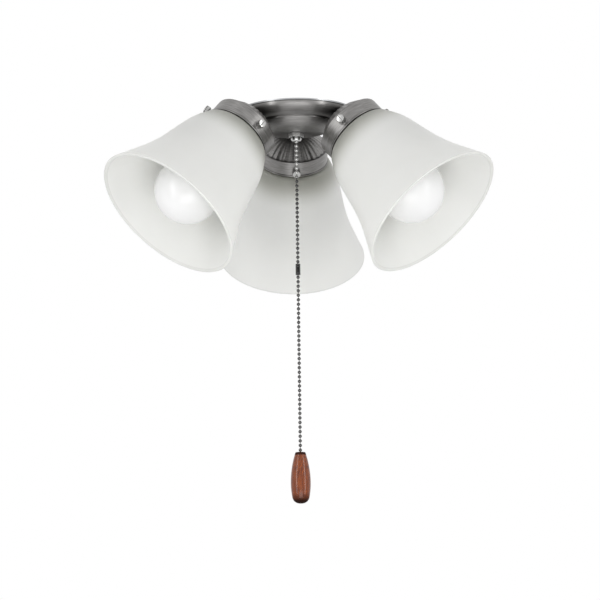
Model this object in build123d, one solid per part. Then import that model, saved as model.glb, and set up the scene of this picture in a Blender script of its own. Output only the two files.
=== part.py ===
"""Ceiling fan light kit: a stepped round pan with three tilted glass fitters, three bell shades,
three lamps, and a pull-chain switch in the middle with a bead chain and a turned wooden pull.

Millimetres, +Z up. The origin is on the kit's axis, in the top face of the cover plate, which is
the face that meets the fan. Everything but the threaded centre nipple hangs below it.

Each arm set is drawn upright in its own frame: its seat on the pan at the origin, its axis along
+Z towards the mouth of the shade. Heights there are distances out from the seat. X is the side of
the arm that faces up and outwards once the set is placed.
"""

import os
from math import cos, pi, radians, sin, tan

from build123d import *

# Arms
arm_azimuths = {"back": 90, "left": 210, "right": 330}
screw_clocks = {"back": 178, "left": 270, "right": 81}
arm_tilt = 42.6
seat_radius = 43.0
seat_drop = 7.5
screws_per_fitter = 3

# Clearances
thread_gap = 0.05
slide_gap = 0.08
air_gap = 0.3
overrun = 1.0

# Cover plate and pan: the rim lies outside the ring of seats, and the outline steps in from the rim
sheet = 1.2
plate_lip = 0.5
rim_overhang = 9.5
bulge_inset = 0.2
bulge_drop = 5.0
waist_inset = 4.3
waist_drop = 8.3
cove_inset = 9.0
cove_drop = 10.6
ledge_inset = 14.3
ledge_drop = 11.6
step_width = 0.9
step_drop = 13.1
bowl_radius = 20.0
bowl_swell = 1.9
pan_depth = 20.0
pan_bend_share = 0.5
pad_radius = 9.6

# Cover screws, midway between the arms, and the pan's tabs for them
cover_screw_inset = 7.0
cover_screw_radius = 1.45
cover_screw_head_radius = 2.55
cover_screw_length = 6.0
tab_width = 9.0
tab_reach = 5.0
tab_thickness = 2.0

# Hollow threaded nipple that carries the kit, with its nut and washer
pipe_radius = 5.15
pipe_bore = 3.5
nipple_stand = 9.0
nipple_drop = 6.0
nipple_relief = 0.6
nut_flats = 14.0
nut_height = 3.0
washer_radius = 7.6
washer_thickness = 0.8
washer_teeth = 10
tooth_depth = 1.3
tooth_share = 0.5

# Hollow stud, collar and nut of each arm
stud_head_radius = 6.0
stud_head = 1.0
stud_stand = 10.6
collar_radius = 7.8
collar_height = 4.2

# Glass fitter: fluted dome and plain band
fitter_radius = 31.85
fitter_sheet = 0.9
fitter_height = 31.8
band_height = 15.2
dome_flat_radius = 12.0
dome_edge = 0.8
dome_radius_shares = (0.0, 0.35, 0.62, 0.86, 1.0)
dome_rise_shares = (0.0, 0.09, 0.34, 0.72, 1.0)
flutes = 30
flute_depth = 0.9
bead_height = 1.6
bead_stand = 0.5

# Thumb screws and their bosses
screw_up = 6.6
boss_radius = 4.0
boss_stand = 0.9
screw_radius = 2.0
knob_radius = 3.7
knob_length = 4.2
knob_sides = 14
knob_root_share = 0.9
knob_neck_radius = 2.7
knob_neck = 1.9
knob_slot = 0.9

# Lamp holder
holder_radius = 17.5
holder_wall = 2.6
holder_cap_height = 5.0
holder_hub_radius = 8.6
holder_mouth = 56.0
holder_floor_height = 5.0
shell_bore = 13.25
shell_wall = 0.45
shell_drop = 2.0
contact_width = 6.0
contact_sheet = 0.5

# Lamp
lamp_cap_length = 19.0
cap_cone_height = 4.4
cap_cone_radius = 5.4
tip_radius = 4.6
tip_height = 1.4
globe_radius = 30.0
globe_neck_radius = 13.6
globe_wall = 1.0
globe_join = 31.0
lamp_length = 107.0

# Shade
shade_reach = 138.0
mouth_radius = 70.0
glass = 3.0
neck_radius = 26.9
neck_lip_radius = 28.575
neck_lip_height = 3.2
shade_shoulder_radius = 33.8
shade_shoulder_gap = 0.9
shade_hip_radius = 42.6
shade_hip_share = 0.18
shade_flare_radius = 52.4
shade_flare_share = 0.62
shade_bend_share = 0.4
lip_chamfer = 0.9

# Pull switch
case_length = 24.0
case_width = 15.0
case_height = 8.8
case_wall = 1.2
cover_height = 1.0
bushing_flange_radius = 5.8
bushing_flange = 1.2
bushing_radius = 4.75
bushing_bore = 2.1
bushing_stand = 8.4
bushing_tip_radius = 3.1
bushing_tip_height = 3.3
spring_well_radius = 3.6
outlet_nut_flats = 11.6
outlet_nut_height = 4.6
plunger_head = 1.4
plunger_stem_radius = 1.5
plunger_stem = 2.4
spring_wire = 0.6
spring_closed = 4.1
pull_travel = 6.0

# Bead chain
bead_radius = 1.6
bead_pitch = 4.15
link_radius = 0.45
bead_sides = 8
bead_waist_share = 0.52
entry_chain = 12.45
upper_chain = 116.2
lower_chain = 166.0

# Chain connector
connector_radius = 2.2
connector_bore = 1.75
connector_cap = 0.4
connector_length = 10.2
connector_mouth = 1.45
connector_slot = 1.6

# Wooden pull
pull_length = 46.0
pull_top_radius = 4.6
pull_belly_radius = 9.2
pull_belly_share = 0.57
pull_foot_radius = 6.2
pull_foot_chamfer = 0.8
pull_bore_radius = 1.75
pull_bore_depth = 7.0
ferrule_radius = 3.3
ferrule_wall = 0.4
ferrule_mouth = 1.25
ferrule_depth = 4.6

# Places worked out from the sizes above
tilt = radians(arm_tilt)
rim_radius = seat_radius + rim_overhang
plate_radius = rim_radius + plate_lip
bulge_radius = rim_radius - bulge_inset
waist_radius = rim_radius - waist_inset
cove_radius = rim_radius - cove_inset
ledge_radius = rim_radius - ledge_inset
step_radius = ledge_radius - step_width
cover_screw_radius_at = rim_radius - cover_screw_inset
dome_top = collar_height
shoulder = fitter_height - band_height
screw_level = fitter_height - screw_up
pan_top = -sheet
pan_floor = -pan_depth + sheet
neck_bottom = fitter_height + shade_shoulder_gap
holder_bottom = collar_height + fitter_sheet + washer_thickness + nut_height + air_gap
neck_top = screw_level - screw_radius - air_gap - neck_lip_height
lamp_neck = holder_mouth - shell_drop + air_gap
lamp_cap_bottom = lamp_neck - lamp_cap_length
lamp_cone_bottom = lamp_cap_bottom - cap_cone_height
lamp_tip = lamp_cone_bottom - tip_height
globe_centre = lamp_tip + lamp_length - globe_radius
case_top = pan_floor + case_height
flange_low = pan_floor + case_wall
flange_top = flange_low + bushing_flange
plunger_top = case_top - air_gap
plunger_radius = spring_well_radius - slide_gap
plunger_low = plunger_top - plunger_head
plunger_bottom = plunger_low - plunger_stem
spring_radius = spring_well_radius - air_gap
well_floor = plunger_low - pull_travel - spring_closed
first_bead = plunger_bottom - bead_radius
swing_bead = first_bead - round(entry_chain / bead_pitch) * bead_pitch
connector_top_bead = swing_bead - round(upper_chain / bead_pitch) * bead_pitch
connector_bottom_bead = connector_top_bead - (
    connector_length - 2 * (connector_cap + bead_radius + slide_gap)
)
pull_bead = connector_bottom_bead - round(lower_chain / bead_pitch) * bead_pitch
pull_top = pull_bead + bead_radius + slide_gap + ferrule_wall


def arm_plane(name):
    """The frame of one arm: origin on its seat, Z out along the arm, X up and outwards."""
    azimuth = radians(arm_azimuths[name])
    out = Vector(cos(azimuth), sin(azimuth), 0)
    up = Vector(0, 0, 1)
    seat = out * seat_radius - up * seat_drop
    return Plane(
        origin=seat,
        x_dir=out * cos(tilt) + up * sin(tilt),
        z_dir=out * sin(tilt) - up * cos(tilt),
    )


def screw_plane(name, index):
    """The frame of one thumb screw: on the arm's axis at the screw's level, Z out along the screw."""
    clock = radians(screw_clocks[name] + index * 360 / screws_per_fitter)
    frame = Plane(
        origin=(0, 0, screw_level),
        x_dir=(0, 0, 1),
        z_dir=(cos(clock), sin(clock), 0),
    )
    return arm_plane(name).location * frame.location


def cover_screw_spots():
    """The place of each cover screw, midway round from one arm to the next."""
    azimuths = sorted(arm_azimuths.values())
    following = azimuths[1:] + [azimuths[0] + 360]
    middles = [(a + b) / 2 for a, b in zip(azimuths, following)]
    return [Rot(0, 0, middle) * Pos(cover_screw_radius_at, 0, 0) for middle in middles]


def turned(*edges):
    """A solid of revolution about Z from edges drawn in the XZ plane."""
    return revolve(make_face(Curve() + list(edges)), Axis.Z)


def turned_path(points):
    """A solid of revolution from straight runs through (radius, height) points."""
    return turned(Polyline([(r, 0, z) for r, z in points], close=True))


def rounded(points, share):
    """A path through (radius, height) points, each bend rounded over a share of its shorter leg."""
    corners = [Vector(r, 0, z) for r, z in points]
    radii = []
    for before, corner, after in zip(corners, corners[1:], corners[2:]):
        turn = radians((corner - before).get_angle(after - corner))
        leg = share * min((corner - before).length, (after - corner).length)
        radii.append(leg / tan(turn / 2))
    return FilletPolyline(*corners, radius=radii)


def ring_points(radius, height, sides):
    """The corners of a regular outline about Z."""
    angles = [2 * pi * i / sides for i in range(sides)]
    return [Vector(radius * cos(a), radius * sin(a), height) for a in angles]


def faceted(rings):
    """A closed solid of flat faces through a stack of outlines that have as many corners each."""
    faces = [Face(Wire.make_polygon(rings[0][::-1])), Face(Wire.make_polygon(rings[-1]))]
    for low, high in zip(rings, rings[1:]):
        for i in range(len(low)):
            faces.append(Face(Wire.make_polygon([low[i - 1], low[i], high[i], high[i - 1]])))
    return Solid(Shell(faces))


def tube(outer, inner, low, high):
    """A plain ring from one height to another."""
    ring = Circle(outer) - Circle(inner)
    return extrude(Pos(0, 0, low) * ring, high - low)


def rod(radius, low, high):
    """A plain cylinder from one height to another."""
    return extrude(Pos(0, 0, low) * Circle(radius), high - low)


def hexagon(flats, bore, low, high):
    """A hexagon nut with a plain bore in place of its thread."""
    outline = RegularPolygon(flats / 2, 6, major_radius=False) - Circle(bore)
    return extrude(Pos(0, 0, low) * outline, high - low)


def star_washer(low):
    """A lock washer with teeth round its outside."""
    ring = Circle(washer_radius) - Circle(pipe_radius + thread_gap)
    gap_width = 2 * pi * washer_radius / washer_teeth * (1 - tooth_share)
    gaps = PolarLocations(washer_radius, washer_teeth) * Rectangle(2 * tooth_depth, gap_width)
    return extrude(Pos(0, 0, low) * (ring - gaps), washer_thickness)


def pan_body(inset, top):
    """The pan's outside as a solid, moved in by inset from its outer face, up to the given height."""
    rim = rim_radius - inset
    ledge = -ledge_drop + inset
    step = step_radius - inset
    foot = -step_drop + inset
    floor = -pan_depth + inset
    side = [
        (rim, top),
        (bulge_radius - inset, -bulge_drop),
        (waist_radius - inset * sin(tilt), -waist_drop + inset * cos(tilt)),
        (cove_radius, -cove_drop + inset),
        (ledge_radius - inset, ledge),
    ]
    middle = (
        (step + bowl_radius) / 2 + bowl_swell * sin(tilt),
        (foot + floor) / 2 - bowl_swell * cos(tilt),
    )
    return turned(
        Line((0, 0, top), (rim, 0, top)),
        rounded(side, pan_bend_share),
        Polyline((ledge_radius - inset, 0, ledge), (step, 0, ledge), (step, 0, foot)),
        ThreePointArc((step, 0, foot), (middle[0], 0, middle[1]), (bowl_radius, 0, floor)),
        Polyline((bowl_radius, 0, floor), (0, 0, floor), (0, 0, top)),
    )


def make_pan():
    """The stepped bowl, with a pressed flat seat for each arm and a tab for each cover screw."""
    outside = pan_body(0, pan_top)
    inside = pan_body(sheet, pan_top + overrun)
    for name in arm_azimuths:
        place = arm_plane(name).location
        outside -= place * rod(pad_radius, 0, 2 * pad_radius)
        inside -= place * rod(pad_radius + sheet, -sheet, 2 * pad_radius)
        inside += place * rod(stud_head_radius + air_gap, -sheet - 2 * stud_head, -sheet)
    pan = outside - inside
    tab_low = pan_top - tab_thickness
    tab_middle = (cover_screw_inset - tab_reach) / 2
    tab_outline = Rectangle(cover_screw_inset + tab_reach, tab_width)
    tab = extrude(Pos(tab_middle, 0, tab_low) * tab_outline, tab_thickness)
    tab -= rod(cover_screw_radius + thread_gap, tab_low - overrun, pan_top + overrun)
    for spot in cover_screw_spots():
        pan += (spot * tab) & outside
    for name in arm_azimuths:
        pan -= arm_plane(name).location * rod(pipe_radius + thread_gap, -2 * sheet, sheet)
    return pan - rod(bushing_radius + thread_gap, -pan_depth - overrun, pan_floor + overrun)


def countersink(radius, top):
    """A cone that widens to the given radius at z=0, carried straight up to the given height."""
    foot = (cover_screw_radius, cover_screw_radius - radius)
    return turned_path([(0, foot[1]), foot, (radius, 0), (radius, top), (0, top)])


def make_cover_plate():
    """The flat lid that meets the fan, with the nipple's hole and countersunk screw holes."""
    plate = rod(plate_radius, -sheet, 0) - rod(pipe_radius + thread_gap, -sheet - overrun, overrun)
    hole = rod(cover_screw_radius + thread_gap, -sheet - overrun, overrun)
    hole += countersink(cover_screw_head_radius + thread_gap, overrun)
    for spot in cover_screw_spots():
        plate -= spot * hole
    return plate


def make_cover_screws():
    """Three countersunk screws, as one group."""
    neck = cover_screw_radius - cover_screw_head_radius
    screw = turned_path(
        [
            (0, -cover_screw_length),
            (cover_screw_radius, -cover_screw_length),
            (cover_screw_radius, neck),
            (cover_screw_head_radius, 0),
            (0, 0),
        ]
    )
    return Compound(children=[spot * screw for spot in cover_screw_spots()])


def make_center_nipple():
    """The hollow threaded nipple that carries the kit and lets the wires through."""
    relief = pipe_radius - nipple_relief
    return turned_path(
        [
            (pipe_bore, -nipple_drop),
            (pipe_radius, -nipple_drop),
            (pipe_radius, -sheet),
            (relief, -sheet),
            (relief, 0),
            (pipe_radius, 0),
            (pipe_radius, nipple_stand),
            (pipe_bore, nipple_stand),
        ]
    )


def make_nipple_nut():
    """The lock nut under the cover plate."""
    top = -sheet - washer_thickness
    return hexagon(nut_flats, pipe_radius + thread_gap, top - nut_height, top)


def make_stud():
    """The hollow stud of one arm: flat head inside the pan, thread out through the fitter."""
    head = tube(stud_head_radius, pipe_bore, -sheet - stud_head, -sheet)
    return head + tube(pipe_radius, pipe_bore, -sheet, stud_stand)


def make_collar():
    """The short ring between the pan's seat and the dome."""
    return tube(collar_radius, pipe_radius + thread_gap, 0, collar_height)


def make_arm_nut():
    """The lock nut inside one fitter."""
    low = collar_height + fitter_sheet + washer_thickness
    return hexagon(nut_flats, pipe_radius + thread_gap, low, low + nut_height)


def dome_sections(inset):
    """(radius, height) of the dome's outer face, or of its inner face when inset is the sheet."""
    width = fitter_radius - dome_edge - dome_flat_radius
    rise = shoulder - dome_top
    return [
        (dome_flat_radius + width * r - inset, dome_top + rise * h + inset)
        for r, h in zip(dome_radius_shares, dome_rise_shares)
    ]


def fluted_section(radius, height, depth):
    """A closed outline whose points step in and out, once for each flute."""
    points = []
    for i in range(2 * flutes):
        angle = pi * i / flutes
        reach = radius - (depth if i % 2 else 0)
        points.append((reach * cos(angle), reach * sin(angle), height))
    return Wire.make_polygon([Vector(*p) for p in points], close=True)


def make_fitter(name):
    """One pressed fitter: flat top, fluted dome, plain band, beaded lower rim, bosses for the screws."""
    sections = dome_sections(0)
    wires = []
    for i, (radius, height) in enumerate(sections):
        wires.append(fluted_section(radius, height, flute_depth if i else 0))
    dome = Solid.make_loft(wires, ruled=True)
    outer = dome + rod(fitter_radius, shoulder, fitter_height)
    bead_low = fitter_height - bead_height
    outer += rod(fitter_radius + bead_stand, bead_low, fitter_height)
    arm = arm_plane(name).location
    spots = [arm.inverse() * screw_plane(name, i) for i in range(screws_per_fitter)]
    for spot in spots:
        outer += spot * rod(boss_radius, fitter_radius / 2, fitter_radius + boss_stand)
    inset = fitter_sheet + flute_depth
    inner = [(r - inset, h + fitter_sheet) for r, h in sections[:-1]]
    bore = fitter_radius - fitter_sheet
    hollow = [(0, dome_top + fitter_sheet)] + inner
    hollow += [(bore - dome_edge, shoulder), (bore, shoulder + dome_edge)]
    hollow += [(bore, fitter_height + overrun), (0, fitter_height + overrun)]
    fitter = outer - turned_path(hollow)
    fitter -= rod(pipe_radius + thread_gap, 0, dome_top + 2 * fitter_sheet)
    for spot in spots:
        fitter -= spot * rod(screw_radius + slide_gap, fitter_radius / 2, fitter_radius + 2 * boss_stand)
    return fitter


def make_thumb_screw():
    """One slotted thumb screw along +Z, drawn from its fitter's axis: tip, shank, neck and knob."""
    tip = neck_radius + air_gap
    seat = fitter_radius + boss_stand + air_gap
    knob_low = seat + knob_neck
    knob_top = knob_low + knob_length
    points = []
    for i in range(2 * knob_sides):
        angle = pi * i / knob_sides
        reach = knob_radius * (knob_root_share if i % 2 else 1)
        points.append((reach * cos(angle), reach * sin(angle)))
    knob = extrude(Pos(0, 0, knob_low) * make_face(Polyline(points, close=True)), knob_length)
    screw = rod(screw_radius, tip, seat) + rod(knob_neck_radius, seat, knob_low) + knob
    slot = Box(2 * knob_radius + overrun, knob_slot, 2 * knob_slot)
    return screw - Pos(0, 0, knob_top) * slot


def make_holder():
    """The moulded lamp holder: hub with the stud's hole, cap, and a deep round body."""
    body_bottom = holder_bottom + holder_cap_height
    floor = body_bottom + holder_floor_height
    holder = rod(holder_hub_radius, holder_bottom, body_bottom)
    taper = [
        (0, body_bottom),
        (holder_radius - holder_wall, body_bottom),
        (holder_radius, body_bottom + holder_wall),
        (holder_radius, holder_mouth),
        (0, holder_mouth),
    ]
    holder += turned_path(taper)
    holder -= rod(holder_radius - holder_wall, floor, holder_mouth + overrun)
    holder -= rod(pipe_radius + thread_gap, holder_bottom - overrun, stud_stand + air_gap)
    return holder - rod(pipe_bore, holder_bottom, floor + overrun)


def make_screw_shell():
    """The threaded metal sleeve that grips the lamp cap, with its turned-out rim."""
    high = holder_mouth - shell_drop
    shell = tube(shell_bore + shell_wall, shell_bore, lamp_cone_bottom, high)
    rim = holder_radius - holder_wall - air_gap
    return shell + tube(rim, shell_bore, high - shell_wall, high)


def make_contact():
    """The sprung tongue at the bottom of the holder, bent up to the lamp's tip."""
    floor = holder_bottom + holder_cap_height + holder_floor_height
    top = lamp_tip - slide_gap
    tip = top - contact_sheet
    reach = shell_bore - contact_width / 2
    foot = -reach
    path = [
        (foot, floor),
        (foot + contact_width, floor),
        (-contact_width / 4, tip),
        (contact_width / 2, tip),
        (contact_width / 2, top),
        (-contact_width / 3, top),
        (foot + contact_width - contact_sheet / 2, floor + contact_sheet),
        (foot, floor + contact_sheet),
    ]
    side = make_face(Polyline([(x, 0, z) for x, z in path], close=True))
    return extrude(side, contact_width / 2, both=True)


def globe_body(inset):
    """The globe as a solid, moved in by inset from its outer face: a ball that runs into its neck."""
    radius = globe_radius - inset
    join = radians(globe_join)
    meet = (radius * cos(join), 0, globe_centre - radius * sin(join))
    neck = (globe_neck_radius - inset, 0, lamp_neck)
    crown = (0, 0, globe_centre + radius)
    return turned(
        Line((0, 0, lamp_neck), neck),
        TangentArc(meet, neck, tangent=(-sin(join), 0, -cos(join))),
        ThreePointArc(meet, (radius, 0, globe_centre), crown),
        Line(crown, (0, 0, lamp_neck)),
    )


def make_globe():
    """The lamp's frosted envelope, hollow, open at its neck."""
    return globe_body(0) - globe_body(globe_wall)


def make_lamp_cap():
    """The lamp's screw cap with its insulating cone and centre tip."""
    radius = shell_bore - slide_gap
    return turned_path(
        [
            (0, lamp_tip),
            (tip_radius, lamp_tip),
            (cap_cone_radius, lamp_cone_bottom),
            (radius, lamp_cap_bottom),
            (radius, lamp_neck),
            (0, lamp_neck),
        ]
    )


def shade_points(inset):
    """(radius, height) points down the bell, moved in by inset from its outer face."""
    reach = shade_reach - neck_bottom
    return [
        (shade_shoulder_radius - inset, neck_bottom + inset),
        (shade_hip_radius - inset, neck_bottom + reach * shade_hip_share),
        (shade_flare_radius - inset, neck_bottom + reach * shade_flare_share),
        (mouth_radius - inset, shade_reach - lip_chamfer),
    ]


def make_shade():
    """One bell shade: lipped neck, round shoulder, long waist and flared mouth."""
    outer = shade_points(0)
    inner = shade_points(glass)
    bore = neck_radius - glass
    mouth = [
        outer[-1],
        (mouth_radius - lip_chamfer, shade_reach),
        (mouth_radius - glass + lip_chamfer, shade_reach),
        inner[-1],
    ]
    neck = [
        inner[0],
        (bore, inner[0][1]),
        (bore, neck_top),
        (neck_lip_radius, neck_top),
        (neck_lip_radius, neck_top + neck_lip_height),
        (neck_radius, neck_top + neck_lip_height),
        (neck_radius, neck_bottom),
        outer[0],
    ]
    return turned(
        rounded(outer, shade_bend_share),
        Polyline([(r, 0, z) for r, z in mouth]),
        rounded(inner, shade_bend_share),
        Polyline([(r, 0, z) for r, z in neck]),
    )


def make_switch_case():
    """The switch's moulded case, open at the top, on the pan's floor."""
    case = extrude(Pos(0, 0, pan_floor) * Rectangle(case_length, case_width), case_height)
    room = Rectangle(case_length - 2 * case_wall, case_width - 2 * case_wall)
    case -= extrude(Pos(0, 0, pan_floor + case_wall) * room, case_height)
    return case - rod(bushing_radius + thread_gap, pan_floor - overrun, pan_floor + 2 * case_wall)


def make_switch_cover():
    """The lid riveted on the switch's case."""
    return extrude(Pos(0, 0, case_top) * Rectangle(case_length, case_width), cover_height)


def make_bushing():
    """The threaded outlet of the switch, with the spring's well above and a rounded mouth below."""
    bottom = -pan_depth - bushing_stand
    corner = bottom + bushing_tip_height
    edges = [
        Polyline(
            (bushing_tip_radius, 0, bottom),
            (bushing_bore, 0, bottom),
            (bushing_bore, 0, well_floor),
            (spring_well_radius, 0, well_floor),
            (spring_well_radius, 0, flange_top),
            (bushing_flange_radius, 0, flange_top),
            (bushing_flange_radius, 0, flange_low),
            (bushing_radius, 0, flange_low),
            (bushing_radius, 0, corner),
        ),
        ThreePointArc(
            (bushing_radius, 0, corner),
            (
                (bushing_radius + bushing_tip_radius) / 2 + bushing_tip_height / 6,
                0,
                bottom + bushing_tip_height / 3,
            ),
            (bushing_tip_radius, 0, bottom),
        ),
    ]
    return turned(*edges)


def make_outlet_nut():
    """The hexagon nut that clamps the switch to the pan from below."""
    top = -pan_depth
    return hexagon(outlet_nut_flats, bushing_radius + thread_gap, top - outlet_nut_height, top)


def make_plunger():
    """The piece that the chain pulls down against the spring."""
    head = rod(plunger_radius, plunger_low, plunger_top)
    return head + rod(plunger_stem_radius, plunger_bottom, plunger_low)


def make_spring():
    """The return spring, closed up as one sleeve between the plunger and the well."""
    return tube(spring_radius, spring_radius - spring_wire, well_floor, plunger_low)


def bead_run(first, last, top, bottom):
    """Faceted beads from the first centre down to the last, with the thin link that runs through them."""
    waist = bead_radius * bead_waist_share
    levels = [(link_radius, top)]
    for i in range(round((first - last) / bead_pitch) + 1):
        centre = first - i * bead_pitch
        levels += [(link_radius, centre + bead_radius), (bead_radius, centre + waist)]
        levels += [(bead_radius, centre - waist), (link_radius, centre - bead_radius)]
    levels.append((link_radius, bottom))
    levels = [a for a, b in zip(levels, levels[1:] + [None]) if a != b]
    return faceted([ring_points(r, z, bead_sides) for r, z in reversed(levels)])


def make_chain_entry():
    """The beads inside the switch's outlet, down to the bead that the chain swings from."""
    return bead_run(first_bead, swing_bead, plunger_bottom, swing_bead - bead_radius)


def make_upper_chain():
    """The chain from below the outlet to the bead held in the connector's upper end."""
    first = swing_bead - bead_pitch
    top = swing_bead - bead_radius - slide_gap
    return bead_run(first, connector_top_bead, top, connector_top_bead - bead_radius)


def make_connector():
    """The slotted sleeve that joins the two lengths of chain by their end beads."""
    high = connector_top_bead + bead_radius + slide_gap + connector_cap
    low = high - connector_length
    sleeve = tube(connector_radius, connector_mouth, low, high)
    sleeve -= rod(connector_bore, low + connector_cap, high - connector_cap)
    window = Box(connector_slot, 2 * connector_radius, connector_length - 4 * connector_cap)
    return sleeve - Pos(0, -connector_radius, (low + high) / 2) * window


def make_lower_chain():
    """The chain from the connector's lower bead to the bead in the wooden pull."""
    top = connector_bottom_bead + bead_radius
    return bead_run(connector_bottom_bead, pull_bead, top, pull_bead - bead_radius)


def make_pull():
    """The turned wooden pull: slim top, full belly, narrower foot, and the bore for the last bead."""
    bottom = pull_top - pull_length
    belly = (pull_belly_radius, 0, pull_top - pull_length * pull_belly_share)
    top = (pull_top_radius, 0, pull_top)
    foot = (pull_foot_radius, 0, bottom + pull_foot_chamfer)
    pull = turned(
        TangentArc(belly, top, tangent=(0, 0, 1)),
        TangentArc(belly, foot, tangent=(0, 0, -1)),
        Polyline(
            foot,
            (pull_foot_radius - pull_foot_chamfer, 0, bottom),
            (0, 0, bottom),
            (0, 0, pull_top),
            top,
        ),
    )
    pull -= rod(pull_bore_radius, pull_top - pull_bore_depth, pull_top + overrun)
    return pull - rod(ferrule_radius, pull_top - ferrule_depth, pull_top + overrun)


def make_ferrule():
    """The small metal cup in the top of the pull that keeps the last bead in."""
    cup = tube(ferrule_radius, ferrule_radius - ferrule_wall, pull_top - ferrule_depth, pull_top)
    return cup + tube(ferrule_radius, ferrule_mouth, pull_top - ferrule_wall, pull_top)


def save(name, shape):
    """Write one node's STEP file."""
    export_step(shape, os.path.join("parts", name + ".step"))


def arm_group(shape):
    """The same piece on every arm, as one group of separate solids."""
    return Compound(children=[arm_plane(name).location * shape for name in arm_azimuths])


def main():
    os.makedirs("parts", exist_ok=True)
    save("pan", make_pan())
    save("cover_plate", make_cover_plate())
    save("cover_screws", make_cover_screws())
    save("center_nipple", make_center_nipple())
    save("nipple_nut", make_nipple_nut())
    save("nipple_star_washer", star_washer(-sheet - washer_thickness))
    save("arm_studs", arm_group(make_stud()))
    save("arm_collars", arm_group(make_collar()))
    save("arm_star_washers", arm_group(star_washer(collar_height + fitter_sheet)))
    save("arm_nuts", arm_group(make_arm_nut()))

    thumb_screw = make_thumb_screw()
    holder = make_holder()
    screw_shell = make_screw_shell()
    contact = make_contact()
    globe = make_globe()
    lamp_cap = make_lamp_cap()
    shade = make_shade()
    for name in arm_azimuths:
        place = arm_plane(name).location
        save("fitter_" + name, place * make_fitter(name))
        save("shade_" + name, place * shade)
        save("lamp_holder_" + name, place * holder)
        save("screw_shell_" + name, place * screw_shell)
        save("center_contact_" + name, place * contact)
        save("lamp_globe_" + name, place * globe)
        save("lamp_cap_" + name, place * lamp_cap)
        for index in range(screws_per_fitter):
            save(f"thumb_screw_{name}_{index + 1}", screw_plane(name, index) * thumb_screw)

    save("switch_case", make_switch_case())
    save("switch_cover", make_switch_cover())
    save("switch_bushing", make_bushing())
    save("outlet_nut", make_outlet_nut())
    save("switch_plunger", make_plunger())
    save("switch_spring", make_spring())
    save("chain_entry", make_chain_entry())
    save("upper_chain", make_upper_chain())
    save("chain_connector", make_connector())
    save("lower_chain", make_lower_chain())
    save("wooden_pull", make_pull())
    save("pull_ferrule", make_ferrule())


main()
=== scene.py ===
"""Dresses the ceiling fan light kit: its pan, fitters, shades, lamps, thumb screws, switch outlet,
bead chain and wooden pull, with a floor, lights and a camera below it.

Metres, in the frame of the CAD part. Each piece of an arm is drawn upright in the arm's own frame,
with its seat on the pan at the origin and its axis along +Z, and is then set in place.
"""

from math import atan2, cos, pi, radians, sin, tan

import bmesh
import bpy
from bpy.props import FloatProperty, FloatVectorProperty, IntProperty, PointerProperty
from mathutils import Matrix, Vector


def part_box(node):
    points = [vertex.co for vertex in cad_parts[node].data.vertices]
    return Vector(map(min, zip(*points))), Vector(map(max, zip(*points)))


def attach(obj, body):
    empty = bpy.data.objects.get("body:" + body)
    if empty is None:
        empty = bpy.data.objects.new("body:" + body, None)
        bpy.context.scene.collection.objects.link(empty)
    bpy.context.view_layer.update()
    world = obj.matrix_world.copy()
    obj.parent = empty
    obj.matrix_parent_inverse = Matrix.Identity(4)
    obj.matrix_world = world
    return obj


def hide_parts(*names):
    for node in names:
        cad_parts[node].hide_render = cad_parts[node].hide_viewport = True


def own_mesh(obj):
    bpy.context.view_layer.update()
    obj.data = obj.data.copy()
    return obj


bl_info = {
    "name": "Ceiling Fan Light Kit",
    "version": (1, 0, 0),
    "blender": (4, 5, 0),
    "location": "View3D > Sidebar > Light Kit",
    "description": "Builds the finished pieces of a ceiling fan light kit",
    "category": "Add Mesh",
}

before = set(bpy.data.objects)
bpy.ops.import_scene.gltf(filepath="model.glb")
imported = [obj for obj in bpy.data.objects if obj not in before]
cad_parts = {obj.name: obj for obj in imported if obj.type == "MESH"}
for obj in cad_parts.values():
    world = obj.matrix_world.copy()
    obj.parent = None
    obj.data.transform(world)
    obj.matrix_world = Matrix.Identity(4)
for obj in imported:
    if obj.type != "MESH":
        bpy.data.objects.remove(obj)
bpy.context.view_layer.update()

ARMS = {"back": 90, "left": 210, "right": 330}
SCREW_CLOCKS = {"back": 178, "left": 270, "right": 81}
SCREWS_PER_FITTER = 3
PLACE = "place"
SPIN = "spin"

# metres
MERGE = 0.000002
CLEARANCE = 0.0003
BUMP_DEPTH = 0.0001

# (across, down) shares of the fluted dome's side, from its flat top to its ledge
DOME_SIDE = ((0.0, 0.0), (0.27, 0.09), (0.54, 0.34), (0.82, 0.72), (1.0, 1.0))
DOME_BEND = 0.45  # share of each leg that its bends round
FLUTE_POWER = 1.5  # above 1 the ridges are wider than the grooves
FLUTE_SHADE = 0.12  # how much painted shade darkens a groove halfway down
LINES_ROUGH = 0.18  # how much rougher a metal is across its lines
THREAD_START = 0.25  # shares of the thread's pitch
THREAD_FLANK = 0.4
BOSS_PLAY = 1.04  # a boss's hole over the screw's thread
FOOT_WIDTH = 0.86  # the pull's flat foot over its hip

FACETS = 96  # round a globe and the pull
BALL_STEPS = 36
BOSS_FACETS = 40
FACETS_PER_FLUTE = 8
FACETS_PER_KNURL = 6

# where the lights stand, in metres, and the width of the square one
KEY_SPOT = (-1.42, -1.11, 0.15)
FILL_SPOT = (1.42, -1.19, 0.15)
FRONT_SPOT = (0.0, -0.8, -0.88)
FRONT_SIZE = 0.9
FLOOR_GREY = 0.82
FLOOR_GLOW = 0.28  # strength of the floor's own light, where it is seen
SENSOR_WIDTH = 36
CLIP_END = 50


def length(name, description, default):
    """A property that holds a length in metres."""
    return FloatProperty(name=name, description=description, default=default, unit="LENGTH", precision=5)


def share(name, description, default):
    """A property that holds a share between 0 and 1."""
    return FloatProperty(name=name, description=description, default=default, min=0, max=1)


def angle(name, description, default):
    """A property that holds an angle, given in degrees."""
    return FloatProperty(name=name, description=description, default=radians(default), unit="ROTATION")


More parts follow.
